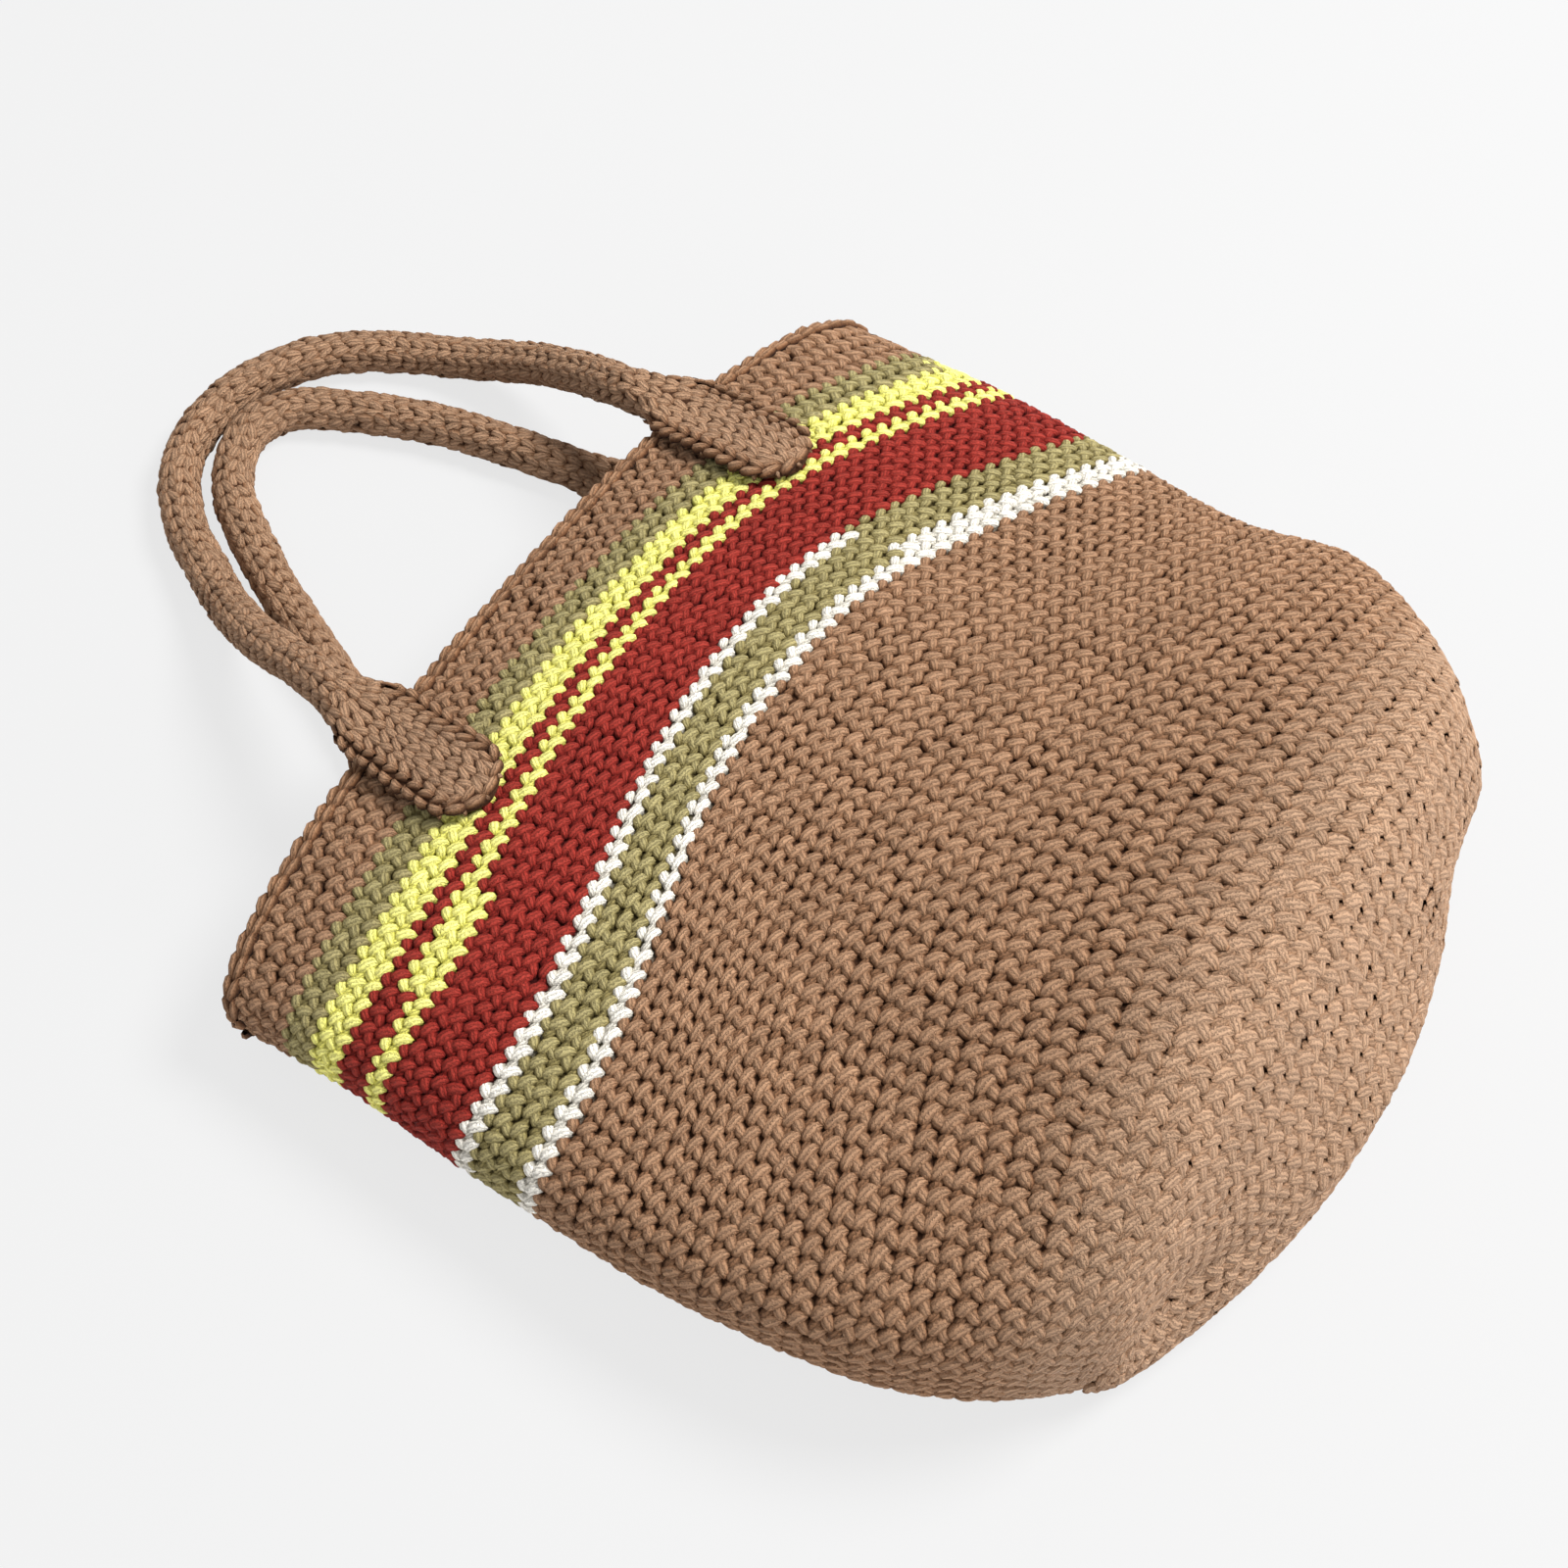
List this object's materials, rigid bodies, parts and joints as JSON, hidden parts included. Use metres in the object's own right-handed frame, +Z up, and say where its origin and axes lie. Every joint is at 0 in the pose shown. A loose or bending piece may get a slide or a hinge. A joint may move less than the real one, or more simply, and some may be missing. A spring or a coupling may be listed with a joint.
{
  "type": "crocheted tote bag",
  "caption": "Crocheted cotton tote bag with a round base, striped mouth and rolled handles, lying on its back wall with the base folded across.",
  "frame": {"origin": "on the floor, under the middle of the bounding box", "axes": "+X along the bag from its mouth and handles to its base, +Z up from the floor, the front wall on top"},
  "size_m": [0.5682, 0.3932, 0.1239],
  "materials": {
    "cotton_yarn": "matt crocheted cotton, light brown with red, olive, yellow and cream stripes at the mouth",
    "handle_yarn": "matt crocheted cotton, light brown"
  },
  "bodies": {
    "root": {"body": "cotton_yarn", "front_handle": "handle_yarn", "back_handle": "handle_yarn"}
  },
  "joints": []
}
